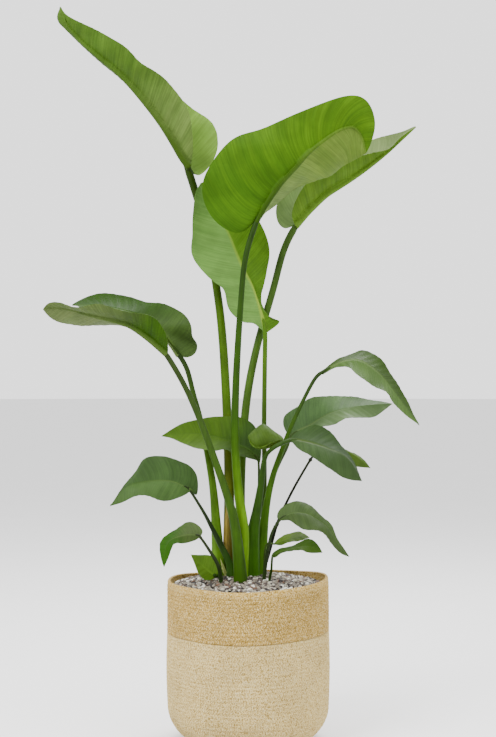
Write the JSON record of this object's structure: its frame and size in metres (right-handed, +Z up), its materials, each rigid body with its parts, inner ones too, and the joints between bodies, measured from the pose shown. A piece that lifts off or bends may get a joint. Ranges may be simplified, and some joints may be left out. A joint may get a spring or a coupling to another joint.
{
  "type": "potted bird of paradise plant",
  "caption": "Tall potted bird of paradise with paddle-shaped leaves on slender stems, standing in a soft round woven basket that hides its nursery pot.",
  "frame": {"origin": "centre of the basket's flat underside", "axes": "+Z up along the basket's axis; the plant's fan of leaves spreads along X; -Y is the front"},
  "size_m": [0.6957, 0.303, 1.3733],
  "materials": {
    "woven_jute": "coarse stitched braid, a darker tan band over a paler one",
    "pot_plastic": "matte black",
    "potting_soil": "loose peat and bark",
    "small_stones": "mixed grey, white and dark gravel",
    "leaf": "satin green with fine parallel side veins",
    "stem": "smooth satin green, darker towards the blades",
    "dry_scale": "dry brown fibre",
    "pale_scale": "pale green, drying"
  },
  "bodies": {
    "root": {"basket": "woven_jute", "nursery_pot": "pot_plastic", "soil": "potting_soil", "stone_layer": "small_stones", "top_left_leaf": "leaf", "top_left_stem": "stem", "centre_leaf": "leaf", "centre_stem": "stem", "middle_leaf": "leaf", "middle_stem": "stem", "top_right_leaf": "leaf", "top_right_stem": "stem", "left_front_leaf": "leaf", "left_front_stem": "stem", "left_back_leaf": "leaf", "left_back_stem": "stem", "mid_left_leaf": "leaf", "mid_left_stem": "stem", "mid_right_leaf": "leaf", "mid_right_stem": "stem", "cupped_leaf": "leaf", "right_arch_leaf": "leaf", "right_arch_stem": "stem", "right_back_leaf": "leaf", "right_back_stem": "stem", "right_low_back_leaf": "leaf", "right_low_back_stem": "stem", "low_right_leaf": "leaf", "low_right_stem": "stem", "small_right_upper_leaf": "leaf", "small_right_upper_stem": "stem", "small_right_lower_leaf": "leaf", "small_right_lower_stem": "stem", "low_left_leaf": "leaf", "low_left_stem": "stem", "small_left_leaf": "leaf", "small_left_stem": "stem", "short_left_leaf": "leaf", "short_left_stem": "stem", "brown_scale": "dry_scale", "pale_scale": "pale_scale"}
  },
  "joints": []
}
